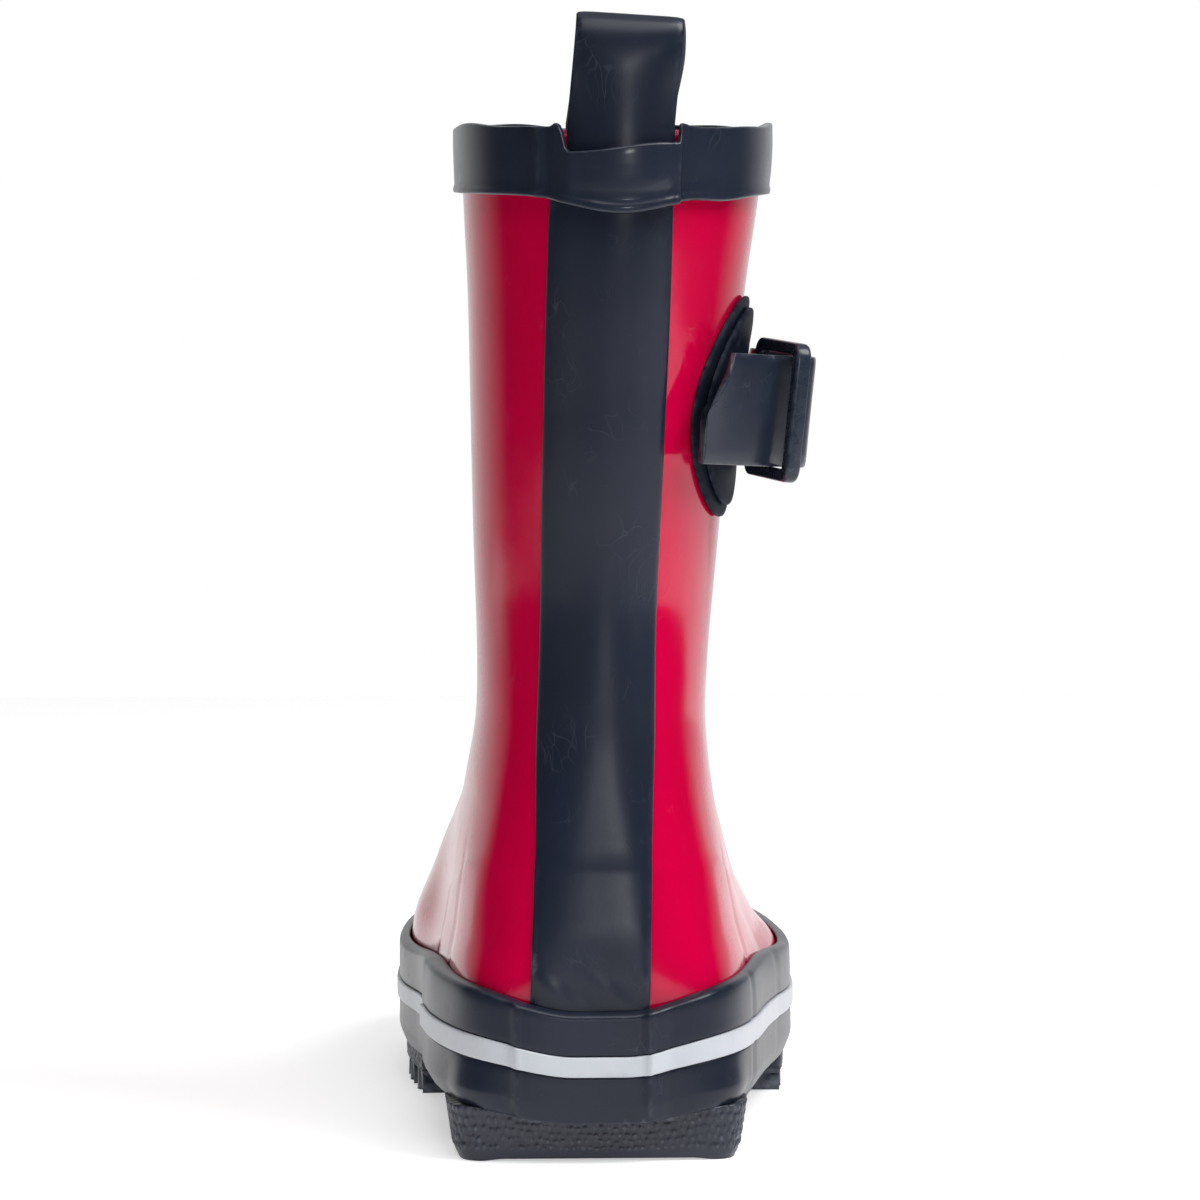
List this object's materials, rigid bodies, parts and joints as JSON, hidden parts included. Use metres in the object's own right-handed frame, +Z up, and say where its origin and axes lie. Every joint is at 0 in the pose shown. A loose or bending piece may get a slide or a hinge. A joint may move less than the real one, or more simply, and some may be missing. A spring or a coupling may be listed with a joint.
{
  "type": "rubber rain boot",
  "caption": "Child's right rubber rain boot with a pull loop at the back rim, a side strap with buckle, and a lugged sole.",
  "frame": {"origin": "on the ground under the middle of the boot's bounding box", "axes": "+Z up, +Y towards the toe, +X towards the boot's outer side, where the buckle is"},
  "size_m": [0.0868, 0.2102, 0.2325],
  "materials": {
    "red_rubber": "glossy varnished",
    "navy_rubber": "satin",
    "navy_moulded": "glossy moulded",
    "pale_rubber": "satin",
    "red_knit": "cotton jersey",
    "felt_board": "matte board",
    "sponge_rubber": "matte sponge",
    "stiff_fabric": "rubberised canvas"
  },
  "bodies": {
    "boot": {"upper_shell": "red_rubber", "lining": "red_knit", "heel_counter": "stiff_fabric", "toe_cap": "stiff_fabric", "insole_board": "felt_board", "footbed": "red_knit", "sole_filler": "sponge_rubber", "outsole": "navy_rubber", "heel_block": "navy_rubber", "foxing": "navy_rubber", "foxing_stripe": "pale_rubber", "back_strip": "navy_rubber", "top_binding": "navy_rubber", "loop_outer_end": "navy_rubber", "loop_inner_end": "navy_rubber", "patch_base": "navy_rubber", "patch_overlay": "navy_rubber", "buckle_holder": "navy_rubber", "strap": "navy_rubber"},
    "loop": {"pull_loop": "navy_rubber"},
    "buckle": {"buckle_frame": "navy_moulded"},
    "strap_end": {"strap_tail": "navy_rubber"}
  },
  "joints": [
    {"name": "pull_loop_flex", "type": "hinge", "parent": "boot", "child": "loop", "pos_m": [0.0006, -0.09866, 0.212], "axis": [1, 0, 0], "range_deg": [-16, 25], "stiffness_Nm_per_rad": 0.03, "deforming": ["loop_outer_end", "loop_inner_end"]},
    {"name": "buckle_swing", "type": "hinge", "parent": "boot", "child": "buckle", "pos_m": [0.03069, -0.05808, 0.15166], "axis": [0.0993, 0, 0.9951], "range_deg": [-3, 35]},
    {"name": "strap_draw", "type": "slide", "parent": "boot", "child": "strap_end", "axis": [-0.6585, -0.7497, 0.0657], "range_m": [0, 0.008], "deforming": ["strap"]}
  ]
}
